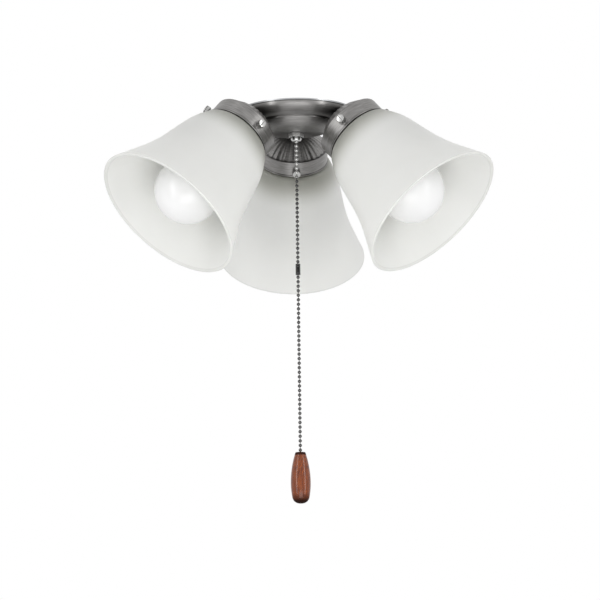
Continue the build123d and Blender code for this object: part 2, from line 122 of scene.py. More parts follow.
def number(name, description, default):
    """A property that holds a plain number."""
    return FloatProperty(name=name, description=description, default=default, precision=3)


def count(name, description, default):
    """A property that holds a count."""
    return IntProperty(name=name, description=description, default=default, min=1)


def colour(name, description, default):
    """A property that holds a colour."""
    return FloatVectorProperty(
        name=name, description=description, default=default, subtype="COLOR", size=3, min=0, max=1
    )


class ArmSizes(bpy.types.PropertyGroup):
    """Where each arm sits, its fitter and its thumb screws."""

    tilt: angle("Tilt", "Angle of each arm from straight down", 42.6)
    seat_radius: length("Seat radius", "Radius of each seat's centre", 0.0430)
    seat_drop: length("Seat drop", "Depth of each seat's centre", 0.0075)
    collar: length("Collar", "Height of the collar under the fitter", 0.0042)
    fitter_radius: length("Fitter radius", "Outside radius of the band", 0.03185)
    fitter_height: length("Fitter height", "Distance from the seat to the lower rim", 0.0318)
    band_height: length("Band height", "Height of the plain band", 0.0152)
    fitter_sheet: length("Fitter sheet", "Thickness of the fitter", 0.0009)
    dome_flat: length("Dome flat", "Radius of the flat on top of the dome", 0.0120)
    dome_edge: length("Dome edge", "Width of the ledge round the dome", 0.0008)
    flutes: count("Flutes", "Flutes round the dome", 30)
    flute_depth: length("Flute depth", "Depth of each flute", 0.0009)
    bead_height: length("Bead height", "Height of the lower rim's bead", 0.0016)
    bead_stand: length("Bead stand", "How far the bead stands out", 0.0005)
    screw_up: length("Screw up", "Distance of the screws above the lower rim", 0.0066)
    boss_radius: length("Boss radius", "Radius of each screw boss", 0.0040)
    boss_stand: length("Boss stand", "How far each boss stands out", 0.0009)
    shank_radius: length("Shank radius", "Radius of each screw's thread", 0.0020)
    thread_pitch: length("Thread pitch", "Pitch of each screw's thread", 0.0008)
    thread_depth: length("Thread depth", "Depth of each screw's thread", 0.00022)
    knob_radius: length("Knob radius", "Radius of each screw's knob", 0.0037)
    knob_length: length("Knob length", "Length of each screw's knob", 0.0042)
    knob_neck_radius: length("Neck radius", "Radius under the knob", 0.0027)
    knob_neck: length("Neck", "Length under the knob", 0.0019)
    knob_slot: length("Slot", "Width of the slot", 0.0009)
    knurls: count("Knurls", "Ridges round the knob", 14)
    knurl_depth: length("Knurl depth", "Depth between the ridges", 0.00037)


class ShadeSizes(bpy.types.PropertyGroup):
    """The bell shades and the lamps in them."""

    reach: length("Reach", "Distance from the seat to the mouth", 0.1380)
    mouth_radius: length("Mouth radius", "Outside radius of the mouth", 0.0700)
    glass: length("Glass", "Thickness of the glass", 0.0030)
    neck_radius: length("Neck radius", "Outside radius of the neck", 0.0269)
    neck_lip_radius: length("Neck lip radius", "Radius of the lip inside the fitter", 0.028575)
    neck_lip_height: length("Neck lip height", "Height of that lip", 0.0032)
    shoulder_radius: length("Shoulder radius", "Radius at the top of the shoulder", 0.0338)
    shoulder_gap: length("Shoulder gap", "Gap between the fitter and the shoulder", 0.0009)
    hip_radius: length("Hip radius", "Radius at the bend under the shoulder", 0.0426)
    hip: share("Hip", "Where that bend lies down the bell", 0.18)
    flare_radius: length("Flare radius", "Radius at the bend above the mouth", 0.0524)
    flare: share("Flare", "Where that bend lies down the bell", 0.62)
    bend: share("Bend", "Share of each leg that a bend rounds", 0.4)
    lip_round: length("Lip round", "Rounding of the mouth's edge", 0.0009)
    globe_radius: length("Globe radius", "Radius of the lamp's globe", 0.0300)
    globe_neck_radius: length("Globe neck radius", "Radius of the lamp's neck", 0.0136)
    globe_wall: length("Globe wall", "Thickness of the lamp's glass", 0.0010)
    globe_join: angle("Globe join", "Where the ball meets the neck, below its widest", 31)
    globe_centre: length("Globe centre", "Distance of the ball's centre from the seat", 0.1065)
    lamp_neck: length("Lamp neck", "Distance of the glass's lower end from the seat", 0.0543)
    # painted shade on the glass next to the fitter, fading out down the bell
    painted_shade_top: length("Fade top", "Where the glass is greyest, from the seat", 0.029)
    painted_shade_low: length("Fade low", "Where that grey has gone, from the seat", 0.065)
    steps: count("Steps", "Facets round each shade", 144)


class ChainSizes(bpy.types.PropertyGroup):
    """The bead chain and the wooden pull."""

    bead_radius: length("Bead radius", "Radius of each bead", 0.0016)
    bead_pitch: length("Bead pitch", "Distance between beads", 0.00415)
    link_radius: length("Link radius", "Radius of the wire between beads", 0.0003)
    first_bead: length("First bead", "Depth of the bead under the plunger", 0.0157)
    entry_beads: count("Entry beads", "Beads inside the outlet", 4)
    upper_beads: count("Upper beads", "Beads down to the connector", 28)
    lower_beads: count("Lower beads", "Beads below the connector", 40)
    joint_gap: length("Joint gap", "Distance between the two beads in the connector", 0.00604)
    # a painted sheen: the beads near the outlet are painted brighter, fading out between these depths
    painted_sheen_top: length("Bright top", "Depth down to which the beads are bright", 0.059)
    painted_sheen_low: length("Bright low", "Depth below which they are dark", 0.0635)
    pull_length: length("Pull length", "Length of the wooden pull", 0.0460)
    pull_top_radius: length("Pull top radius", "Radius of its top", 0.0046)
    pull_belly_radius: length("Pull belly radius", "Radius at its widest", 0.0090)
    pull_belly: share("Pull belly", "Where it is widest, down its length", 0.60)
    pull_hip_radius: length("Pull hip radius", "Radius where the belly turns in to the foot", 0.0078)
    pull_hip: share("Pull hip", "Where that lies, down its length", 0.87)
    pull_foot_bend: share("Pull foot bend", "Share of each leg that the foot's bend rounds", 0.92)
    pull_edge_round: length("Pull edge round", "Rounding of its top edge", 0.0008)
    pull_bore: length("Pull bore", "Radius of the hole in its top", 0.0033)
    pull_bore_depth: length("Pull bore depth", "Depth of that hole", 0.0046)


class Finishes(bpy.types.PropertyGroup):
    """The colours of the pieces."""

    nickel: colour("Nickel", "Brushed dark nickel", (0.32, 0.313, 0.306))
    # the dark end of the nickel's grain, and the colour of the shade painted in its hollows, flutes and
    # slots
    nickel_shade: colour("Nickel shade", "The same metal in its hollows", (0.05, 0.0485, 0.047))
    bright: colour("Bright", "Bright nickel of the screws", (0.56, 0.56, 0.55))
    chain: colour("Chain", "Plated steel of the chain", (0.11, 0.11, 0.108))
    zinc: colour("Zinc", "Zinc plated steel", (0.42, 0.43, 0.44))
    glass: colour("Glass", "Frosted glass at the mouth", (0.845, 0.85, 0.812))
    # painted shade: the glass's colour next to the fitter, where the fitter shades it
    glass_neck_shade: colour("Glass neck", "Frosted glass near the fitter", (0.345, 0.345, 0.312))
    lamp: colour("Lamp", "Soft white lamp", (0.99, 0.99, 0.995))
    brass: colour("Brass", "Plain brass", (0.70, 0.52, 0.24))
    aluminium: colour("Aluminium", "The lamp's cap", (0.66, 0.66, 0.67))
    white: colour("White", "Moulded lamp holders", (0.80, 0.79, 0.76))
    black: colour("Black", "Moulded switch case", (0.035, 0.035, 0.037))
    wood: colour("Wood", "Stained wood", (0.31, 0.068, 0.008))
    wood_grain: colour("Wood grain", "Darker grain", (0.10, 0.015, 0.002))
    wood_end: colour("Wood end", "The darker top ring and foot", (0.018, 0.0045, 0.002))


class StageSettings(bpy.types.PropertyGroup):
    """The floor, the lights and the camera."""

    floor_drop: length("Floor drop", "Depth of the floor", 0.95)
    floor_size: length("Floor size", "Width of the floor", 14.0)
    camera_distance: length("Camera distance", "Distance to the point looked at", 2.30915)
    camera_rise: angle("Camera rise", "How far the camera looks up", 9.43)
    camera_turn: angle("Camera turn", "How far the camera is turned about the axis", -2.48)
    camera_roll: angle("Camera roll", "How far the camera is rolled", -0.76)
    look_aside: length("Look aside", "The point looked at, to the side of the axis", 0.00148)
    look_drop: length("Look drop", "The point looked at, below the plate", 0.17551)
    focal: number("Focal length", "Focal length in millimetres on a 36 mm sensor", 152.585)
    world: number("World", "Strength of the even light from all round", 0.57)
    key: number("Key", "Power of the tall strip at the front left in watts", 7.5)
    fill: number("Fill", "Power of the tall strip at the front right in watts", 7.7)
    front: number("Front", "Power of the low front light in watts", 7.0)
    strip_width: length("Strip width", "Width of both tall strips", 0.24)
    strip_height: length("Strip height", "Height of both tall strips", 1.9)


def rounded(points, cut_share, steps):
    """(radius, height) points with each bend rounded over a share of its shorter leg."""
    corners = [Vector(point) for point in points]
    path = [corners[0]]
    for before, corner, after in zip(corners, corners[1:], corners[2:]):
        cut = cut_share * min((corner - before).length, (after - corner).length)
        path += fillet(before, corner, after, cut, steps)
    path.append(corners[-1])
    return [tuple(point) for point in path]


def fillet(before, corner, after, cut, steps):
    """The arc that rounds one corner and touches both its legs cut away from it."""
    start = corner + (before - corner).normalized() * cut
    end = corner + (after - corner).normalized() * cut
    half_turn = (corner - before).angle(after - corner) / 2
    if half_turn < 0.001:
        return [corner]
    inward = ((start + end) / 2 - corner).normalized()
    radius = cut / tan(half_turn)
    return arc(start, corner + inward * (radius / cos(half_turn) - radius), end, steps)


def arc(start, middle, end, steps):
    """(radius, height) points of the arc through three points, ends included."""
    (ax, ay), (bx, by), (cx, cy) = start, middle, end
    d = 2 * (ax * (by - cy) + bx * (cy - ay) + cx * (ay - by))
    a, b, c = ax * ax + ay * ay, bx * bx + by * by, cx * cx + cy * cy
    x = (a * (by - cy) + b * (cy - ay) + c * (ay - by)) / d
    y = (a * (cx - bx) + b * (ax - cx) + c * (bx - ax)) / d
    first = atan2(ay - y, ax - x)
    sweep = (atan2(cy - y, cx - x) - first) % (2 * pi)
    if (atan2(by - y, bx - x) - first) % (2 * pi) > sweep:
        sweep -= 2 * pi
    radius = ((ax - x) ** 2 + (ay - y) ** 2) ** 0.5
    angles = [first + sweep * i / steps for i in range(steps + 1)]
    return [(x + radius * cos(t), y + radius * sin(t)) for t in angles]


def tangent_arc(start, end, heading, steps):
    """(radius, height) points of the arc that leaves start along a heading and comes to end."""
    start, end = Vector(start), Vector(end)
    normal = Vector(heading).normalized().orthogonal()
    radius = (end - start).length_squared / (2 * normal.dot(end - start))
    centre = start + normal * radius
    middle = centre + ((start + end) / 2 - centre).normalized() * abs(radius)
    return arc(start, middle, end, steps)


def lathe(outline, steps, closed=True):
    """A turned form from (radius, height) points, as a bmesh about Z."""
    bm = bmesh.new()
    verts = [bm.verts.new((r, 0, z)) for r, z in outline]
    edges = [bm.edges.new(pair) for pair in zip(verts, verts[1:])]
    if closed:
        edges.append(bm.edges.new((verts[-1], verts[0])))
    bmesh.ops.spin(
        bm, geom=verts + edges, cent=(0, 0, 0), axis=(0, 0, 1), angle=2 * pi, steps=steps, use_merge=True
    )
    bmesh.ops.remove_doubles(bm, verts=bm.verts, dist=MERGE)
    bmesh.ops.recalc_face_normals(bm, faces=bm.faces)
    return bm


def soften(bm, sharp):
    """Smooth shading, with edges kept crisp where they turn by more than sharp degrees."""
    for face in bm.faces:
        face.smooth = True
    for edge in bm.edges:
        edge.smooth = len(edge.link_faces) == 2 and edge.calc_face_angle(0) < radians(sharp)


def make_object(name, bm, material, matrix=None, sharp=35):
    """An object from an upright bmesh, which is then set.

    It keeps its upright places, and the way round its axis at each, in two attributes.
    """
    soften(bm, sharp)
    place = bm.verts.layers.float_vector.new(PLACE)
    spin = bm.verts.layers.float_vector.new(SPIN)
    turned = (matrix or Matrix.Identity(4)).to_3x3()
    for vert in bm.verts:
        vert[place] = vert.co
        vert[spin] = turned @ Vector((-vert.co.y, vert.co.x, 0)).normalized()
    if matrix is not None:
        bmesh.ops.transform(bm, matrix=matrix, verts=bm.verts)
    mesh = bpy.data.meshes.new(name)
    bm.to_mesh(mesh)
    bm.free()
    mesh.materials.append(material)
    made = bpy.data.objects.new(name, mesh)
    bpy.context.scene.collection.objects.link(made)
    return made


def carved(bm, cutter):
    """A bmesh with another's form taken out of it. Both given ones are used up."""
    pieces = []
    for form in (bm, cutter):
        mesh = bpy.data.meshes.new("carving")
        form.to_mesh(mesh)
        form.free()
        piece = bpy.data.objects.new("carving", mesh)
        bpy.context.scene.collection.objects.link(piece)
        pieces.append(piece)
    change = pieces[0].modifiers.new("cut", "BOOLEAN")
    change.object = pieces[1]
    change.operation = "DIFFERENCE"
    change.solver = "EXACT"
    bpy.context.view_layer.update()
    ready = pieces[0].evaluated_get(bpy.context.evaluated_depsgraph_get())
    made = bmesh.new()
    made.from_mesh(ready.to_mesh())
    ready.to_mesh_clear()
    for piece in pieces:
        mesh = piece.data
        bpy.data.objects.remove(piece)
        bpy.data.meshes.remove(mesh)
    return made


def stand_for(piece, node, body):
    """Makes a piece ride on a body and stand for a CAD node."""
    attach(piece, body)
    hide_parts(node)


def dress(node, ending, material, body="kit", matrix=None):
    """Has a merged, smoothly shaded copy of a CAD node stand for it.

    The matrix is the frame that the node was set in.
    """
    upright = matrix or Matrix.Identity(4)
    bm = bmesh.new()
    bm.from_mesh(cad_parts[node].data)
    bmesh.ops.transform(bm, matrix=upright.inverted(), verts=bm.verts)
    bmesh.ops.remove_doubles(bm, verts=bm.verts, dist=MERGE)
    bmesh.ops.dissolve_limit(bm, angle_limit=radians(1), verts=bm.verts, edges=bm.edges)
    bmesh.ops.triangulate(bm, faces=[f for f in bm.faces if len(f.verts) > 4])
    piece = make_object(node + ending, bm, material, upright, sharp=30)
    stand_for(piece, node, body)
    return piece


def arm_matrix(name):
    """The frame of one arm: origin on its seat, Z out along the arm, X up and outwards."""
    arm = bpy.context.scene.kit_arm
    azimuth = radians(ARMS[name])
    out = Vector((cos(azimuth), sin(azimuth), 0))
    up = Vector((0, 0, 1))
    axis = out * sin(arm.tilt) - up * cos(arm.tilt)
    rise = out * cos(arm.tilt) + up * sin(arm.tilt)
    side = axis.cross(rise)
    matrix = Matrix((rise, side, axis)).transposed().to_4x4()
    matrix.translation = out * arm.seat_radius - up * arm.seat_drop
    return matrix


def screw_matrix(name, index):
    """The frame of one thumb screw: on the arm's axis at the screw's level, Z out along the screw."""
    arm = bpy.context.scene.kit_arm
    clock = radians(SCREW_CLOCKS[name] + index * 360 / SCREWS_PER_FITTER)
    out = Vector((cos(clock), sin(clock), 0))
    along = Vector((0, 0, 1))
    matrix = Matrix((along, out.cross(along), out)).transposed().to_4x4()
    matrix.translation = along * (arm.fitter_height - arm.screw_up)
    return arm_matrix(name) @ matrix


def add_node(tree, kind, inputs=None, **values):
    """A shader node with its inputs set to values or linked to sockets."""
    made = tree.nodes.new(kind)
    for key, value in values.items():
        setattr(made, key, value)
    for key, value in (inputs or {}).items():
        if isinstance(value, bpy.types.NodeSocket):
            tree.links.new(value, made.inputs[key])
        else:
            made.inputs[key].default_value = value
    return made


def maths(tree, operation, first, second=0.0, clamp=False):
    """The result of a Math node."""
    made = add_node(tree, "ShaderNodeMath", {0: first, 1: second}, operation=operation, use_clamp=clamp)
    return made.outputs[0]


def mix_colour(tree, factor, first, second):
    """The colour between two others."""
    made = tree.nodes.new("ShaderNodeMix")
    made.data_type = "RGBA"
    for socket, value in ((made.inputs[0], factor), (made.inputs[6], first), (made.inputs[7], second)):
        if isinstance(value, bpy.types.NodeSocket):
            tree.links.new(value, socket)
        else:
            socket.default_value = value
    return made.outputs[2]


def rgba(value):
    """A colour with full alpha."""
    return (value[0], value[1], value[2], 1)


def new_group(name, inputs, outputs):
    """An empty shader node group with named sockets, and its input and output nodes."""
    group = bpy.data.node_groups.new(name, "ShaderNodeTree")
    for label, kind, default in inputs:
        socket = group.interface.new_socket(label, in_out="INPUT", socket_type=kind)
        if default is not None:
            socket.default_value = default
    for label, kind in outputs:
        group.interface.new_socket(label, in_out="OUTPUT", socket_type=kind)
    return group, group.nodes.new("NodeGroupInput"), group.nodes.new("NodeGroupOutput")


def spun_grain_group():
    """Fine lines that run round a turned piece, as a spun or brushed metal has."""
    name = "spun grain"
    if name in bpy.data.node_groups:
        return bpy.data.node_groups[name]
    group, start, end = new_group(
        name,
        [
            ("Place", "NodeSocketVector", None),
            ("Fineness", "NodeSocketFloat", 900.0),
            ("Length", "NodeSocketFloat", 3.0),
        ],
        [("Lines", "NodeSocketFloat"), ("Patches", "NodeSocketFloat")],
    )
    place, fine = start.outputs["Place"], start.outputs["Fineness"]
    x, y, z = add_node(group, "ShaderNodeSeparateXYZ", {0: place}).outputs
    squares = maths(group, "ADD", maths(group, "MULTIPLY", x, x), maths(group, "MULTIPLY", y, y))
    around = {
        0: maths(group, "MULTIPLY", maths(group, "SQRT", squares), fine),
        1: maths(group, "MULTIPLY", z, fine),
        2: maths(group, "MULTIPLY", maths(group, "ARCTAN2", y, x), start.outputs["Length"]),
    }
    line_place = add_node(group, "ShaderNodeCombineXYZ", around).outputs[0]
    group.links.new(noise(group, line_place, 1.0, 3.0), end.inputs["Lines"])
    group.links.new(noise(group, place, 70.0, 4.0), end.inputs["Patches"])
    return group


def seen_rays(tree):
    """1 where the camera, a reflection or glass sees the surface, and 0 where it lights the object."""
    path = add_node(tree, "ShaderNodeLightPath").outputs
    seen = maths(tree, "MAXIMUM", path["Is Camera Ray"], path["Is Glossy Ray"])
    return maths(tree, "MAXIMUM", seen, path["Is Transmission Ray"])


def noise(tree, place, scale, detail, **inputs):
    """The value of a noise texture at a place."""
    inputs.update(Vector=place, Scale=scale, Detail=detail)
    return add_node(tree, "ShaderNodeTexNoise", inputs).outputs[0]


def spread(tree, value, low, high, start=0.0, end=1.0, **values):
    """A value between low and high, spread from start to end."""
    inputs = {"Value": value, "From Min": low, "From Max": high, "To Min": start, "To Max": end}
    return add_node(tree, "ShaderNodeMapRange", inputs, **values).outputs[0]


def surface(tree, shader, tint, pattern, rough, gain, bump=0.0, depth=BUMP_DEPTH):
    """Links a shader's colour, its bump, and its roughness, which a pattern raises by up to gain."""
    tree.links.new(tint, shader.inputs["Base Color"])
    roughness = maths(tree, "ADD", maths(tree, "MULTIPLY", pattern, gain), rough)
    tree.links.new(roughness, shader.inputs["Roughness"])
    if bump:
        height = add_node(
            tree, "ShaderNodeBump", {"Height": pattern, "Strength": bump, "Distance": depth}
        )
        tree.links.new(height.outputs[0], shader.inputs["Normal"])


def base_material(name):
    """A new material with its Principled shader."""
    material = bpy.data.materials.new(name)
    material.use_nodes = True
    tree = material.node_tree
    shader = next(n for n in tree.nodes if n.type == "BSDF_PRINCIPLED")
    return material, tree, shader


def place_socket(tree, own):
    """Where a point lies: in the piece's own upright frame, or in the row's frame."""
    if own:
        return add_node(tree, "ShaderNodeAttribute", attribute_name=PLACE).outputs["Vector"]
    return add_node(tree, "ShaderNodeTexCoord").outputs["Object"]


def metal(
    name,
    light,
    dark,
    rough,
    grain=0.5,
    fineness=900.0,
    own=True,
    bump=0.12,
    rings=(),
    flutes=None,
    brushed=0.0,
):
    """A metal with lines round its axis.

    Shade rings are (height, width, share) of rings darkened with painted shade. Flutes are (how many,
    from height, to height), with painted shade in their grooves.
    """
    if name in bpy.data.materials:
        return bpy.data.materials[name]
    material, tree, shader = base_material(name)
    place = place_socket(tree, own)
    group = spun_grain_group()
    pattern = {"Place": place, "Fineness": fineness}
    lines, patches = add_node(tree, "ShaderNodeGroup", pattern, node_tree=group).outputs
    patchy = maths(tree, "ADD", maths(tree, "MULTIPLY", patches, 0.5), 0.75)
    mottled = maths(tree, "MULTIPLY", spread(tree, lines, 0.3, 0.7, 1 - grain), patchy)
    x, y, z = add_node(tree, "ShaderNodeSeparateXYZ", {0: place}).outputs
    # painted shade: each ring darkens the colour by its share at its height, fading out over its width
    for height, width, part in rings:
        away = maths(tree, "ABSOLUTE", maths(tree, "SUBTRACT", z, height))
        near = maths(tree, "SUBTRACT", 1.0, maths(tree, "DIVIDE", away, width), clamp=True)
        kept = maths(tree, "SUBTRACT", 1.0, maths(tree, "MULTIPLY", near, part))
        mottled = maths(tree, "MULTIPLY", mottled, kept)
    # painted shade in the flutes' grooves, between the two heights
    if flutes:
        turns = maths(tree, "MULTIPLY", maths(tree, "ARCTAN2", y, x), flutes[0])
        groove = maths(tree, "SUBTRACT", 1.0, maths(tree, "COSINE", turns))
        groove = maths(tree, "MULTIPLY", groove, FLUTE_SHADE)
        for side, height in (("GREATER_THAN", flutes[1]), ("LESS_THAN", flutes[2])):
            groove = maths(tree, "MULTIPLY", groove, maths(tree, side, z, height))
        mottled = maths(tree, "MULTIPLY", mottled, maths(tree, "SUBTRACT", 1.0, groove))
    tint = mix_colour(tree, mottled, rgba(dark), rgba(light))
    surface(tree, shader, tint, lines, rough - LINES_ROUGH / 2, LINES_ROUGH, bump)
    shader.inputs["Metallic"].default_value = 1.0
    if brushed:
        shader.inputs["Anisotropic"].default_value = brushed
        shader.inputs["Anisotropic Rotation"].default_value = 0.25
        spin = add_node(tree, "ShaderNodeAttribute", attribute_name=SPIN)
        tree.links.new(spin.outputs["Vector"], shader.inputs["Tangent"])
    return material


def frosted_glass():
    """Satin glass with a soft sheen, and painted shade: warmer and greyer towards the neck, where the
    fitter shades it.
    """
    name = "frosted glass"
    if name in bpy.data.materials:
        return bpy.data.materials[name]
    finish = bpy.context.scene.kit_finish
    shade = bpy.context.scene.kit_shade
    material, tree, shader = base_material(name)
    place = place_socket(tree, True)
    height = add_node(tree, "ShaderNodeSeparateXYZ", {0: place}).outputs[2]
    # painted shade: greyer next to the fitter, fading out down the bell, with a cloud of random tone
    down = spread(tree, height, shade.painted_shade_top, shade.painted_shade_low, interpolation_type="SMOOTHERSTEP")
    cloud = maths(tree, "SUBTRACT", noise(tree, place, 24.0, 3.0), 0.5)
    blend = maths(tree, "ADD", down, maths(tree, "MULTIPLY", cloud, 0.16), clamp=True)
    # painted shade on the mouth's rounded edge, which dulls its bright rim
    edge = maths(tree, "GREATER_THAN", height, shade.reach - 2 * shade.lip_round)
    blend = maths(tree, "SUBTRACT", blend, maths(tree, "MULTIPLY", edge, 0.2))
    tint = mix_colour(tree, blend, rgba(finish.glass_neck_shade), rgba(finish.glass))
    frost = noise(tree, place, 2600.0, 2.0)
    surface(tree, shader, tint, frost, rough=0.38, gain=0.12, bump=0.06, depth=BUMP_DEPTH / 2)
    shader.inputs["Subsurface Weight"].default_value = 0.85
    shader.inputs["Subsurface Radius"].default_value = (0.009, 0.009, 0.0086)
    shader.inputs["Subsurface Scale"].default_value = 1.0
    shader.inputs["Specular IOR Level"].default_value = 0.35
    return material


def lamp_glass():
    """The soft white coating of the lamps."""
    name = "lamp glass"
    if name in bpy.data.materials:
        return bpy.data.materials[name]
    finish = bpy.context.scene.kit_finish
    material, tree, shader = base_material(name)
    cloud = noise(tree, place_socket(tree, True), 60.0, 2.0)
    tint = mix_colour(tree, maths(tree, "MULTIPLY", cloud, 0.1), rgba(finish.lamp), rgba(finish.glass))
    surface(tree, shader, tint, cloud, rough=0.2, gain=0.06)
    shader.inputs["Subsurface Weight"].default_value = 0.6
    shader.inputs["Subsurface Radius"].default_value = (0.006, 0.006, 0.006)
    return material


def stained_wood():
    """Dark red wood with grain along its length, under clear lacquer."""
    name = "stained wood"
    if name in bpy.data.materials:
        return bpy.data.materials[name]
    finish = bpy.context.scene.kit_finish
    material, tree, shader = base_material(name)
    place = place_socket(tree, True)
    stretched = add_node(
        tree, "ShaderNodeMapping", {"Vector": place, "Scale": (1500.0, 1500.0, 60.0)}
    )
    grain = noise(tree, stretched.outputs[0], 1.0, 5.0, Distortion=0.6)
    streaks = spread(tree, grain, 0.35, 0.68)
    tint = mix_colour(tree, streaks, rgba(finish.wood_grain), rgba(finish.wood))
    low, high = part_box("wooden_pull")
    long = high[2] - low[2]
    height = add_node(tree, "ShaderNodeSeparateXYZ", {0: place}).outputs[2]
    foot = spread(tree, height, low[2], low[2] + long * 0.2, 1.3, 0.0)
    ring = maths(tree, "GREATER_THAN", height, high[2] - long * 0.055)
    ends = maths(tree, "MAXIMUM", foot, maths(tree, "MULTIPLY", ring, 0.9), clamp=True)
    tint = mix_colour(tree, ends, tint, rgba(finish.wood_end))
    surface(tree, shader, tint, grain, rough=0.24, gain=0.2, bump=0.04)
    shader.inputs["Specular IOR Level"].default_value = 0.0
    gloss = maths(tree, "SUBTRACT", 1.0, maths(tree, "MULTIPLY", ends, 0.85))
    tree.links.new(gloss, shader.inputs["Coat Weight"])
    shader.inputs["Coat Roughness"].default_value = 0.2
    return material


def moulded(name, tint, rough):
    """Moulded plastic with a fine matt texture."""
    if name in bpy.data.materials:
        return bpy.data.materials[name]
    material, tree, shader = base_material(name)
    grain = noise(tree, place_socket(tree, True), 1500.0, 2.0)
    mottled = mix_colour(tree, grain, rgba([c * 0.8 for c in tint]), rgba(tint))
    surface(tree, shader, mottled, grain, rough, gain=0.15, bump=0.08, depth=BUMP_DEPTH / 2)
    return material


def brushed_nickel(name, grain, fineness=1500.0, brushed=0.8, **more):
    """Dark nickel with a brushed sheen round its axis."""
    finish = bpy.context.scene.kit_finish
    light, dark = finish.nickel, finish.nickel_shade
    return metal(name, light, dark, 0.4, grain, fineness, brushed=brushed, **more)


def bright_nickel(name, dark, **more):
    """Smooth bright nickel, as on screws."""
    light = bpy.context.scene.kit_finish.bright
    return metal(name, light, dark, rough=0.2, grain=0.3, fineness=2500.0, **more)


def pan_nickel():
    """The pan's nickel, with painted shade at its hem, in its cove and at its lowest point."""
    low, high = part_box("pan")
    deep = high[2] - low[2]
    rings = (
        (high[2], deep * 0.06, 0.95),
        (high[2] - deep * 0.45, deep * 0.2, 0.5),
        (low[2], deep * 0.2, 0.3),
    )
    return brushed_nickel("pan nickel", grain=0.4, brushed=0.85, rings=rings)


def fitter_nickel():
    """The fitters' nickel, with painted shade in the flutes, at the ledge and at the rims."""
    arm = bpy.context.scene.kit_arm
    shoulder = arm.fitter_height - arm.band_height
    rings = (
        (shoulder, arm.bead_height / 2, 0.85),
        (arm.fitter_height - arm.bead_height, arm.bead_height / 3, 0.85),
        (arm.fitter_height, arm.bead_height / 3, 0.8),
    )
    flutes = (arm.flutes, arm.collar, shoulder)
    return brushed_nickel("fitter nickel", grain=0.5, fineness=1700.0, rings=rings, flutes=flutes)


def outlet_nickel():
    """The outlet nut's nickel, with painted shade towards the pan and at its lower end."""
    dark = bpy.context.scene.kit_finish.nickel_shade
    low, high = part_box("outlet_nut")
    deep = high[2] - low[2]
    rings = ((high[2], deep * 0.3, 0.9), (low[2], deep * 0.1, 0.6))
    return bright_nickel("outlet nickel", dark, rings=rings)


def screw_nickel():
    """The thumb screws' nickel, with painted shade in the slot and under the knob."""
    dark = bpy.context.scene.kit_finish.nickel_shade
    arm = bpy.context.scene.kit_arm
    low = arm.fitter_radius + arm.boss_stand + arm.knob_neck
    high = low + arm.knob_length
    rings = ((high - arm.knob_slot, arm.knob_slot * 0.7, 0.95), (low, arm.knob_slot, 0.8))
    return bright_nickel("screw nickel", dark, bump=0.04, rings=rings)


def chain_steel():
    """Polished steel with a painted sheen: brighter next to the outlet, where the beads lie in front of
    the fitter.
    """
    name = "chain steel"
    if name in bpy.data.materials:
        return bpy.data.materials[name]
    finish = bpy.context.scene.kit_finish
    chain = bpy.context.scene.kit_chain
    material = metal(name, finish.chain, finish.black, rough=0.18, grain=0.2, bump=0.03)
    tree = material.node_tree
    shader = next(n for n in tree.nodes if n.type == "BSDF_PRINCIPLED")
    dark = shader.inputs["Base Color"].links[0].from_socket
    height = add_node(tree, "ShaderNodeSeparateXYZ", {0: place_socket(tree, False)}).outputs[2]
    # painted sheen: the beads are painted brighter above these depths
    near = spread(tree, height, -chain.painted_sheen_low, -chain.painted_sheen_top)
    tint = mix_colour(tree, near, dark, rgba(finish.bright))
    tree.links.new(tint, shader.inputs["Base Color"])
    return material


def zinc(own=True):
    """Zinc plated steel. Without its own frame it is a material of its own."""
    finish = bpy.context.scene.kit_finish
    name = "zinc plate" if own else "zinc plate inside"
    return metal(name, finish.zinc, finish.nickel, rough=0.34, grain=0.35, own=own)


def brass(own=True):
    """Plain brass. Without its own frame it is a material of its own."""
    finish = bpy.context.scene.kit_finish
    name = "brass" if own else "brass inside"
    return metal(name, finish.brass, finish.wood, rough=0.28, grain=0.12, fineness=1500.0, own=own)


def aluminium():
    """The rolled metal of the lamps' caps."""
    finish = bpy.context.scene.kit_finish
    light, dark = finish.aluminium, finish.nickel
    return metal("lamp cap metal", light, dark, rough=0.3, grain=0.2, fineness=1500.0)


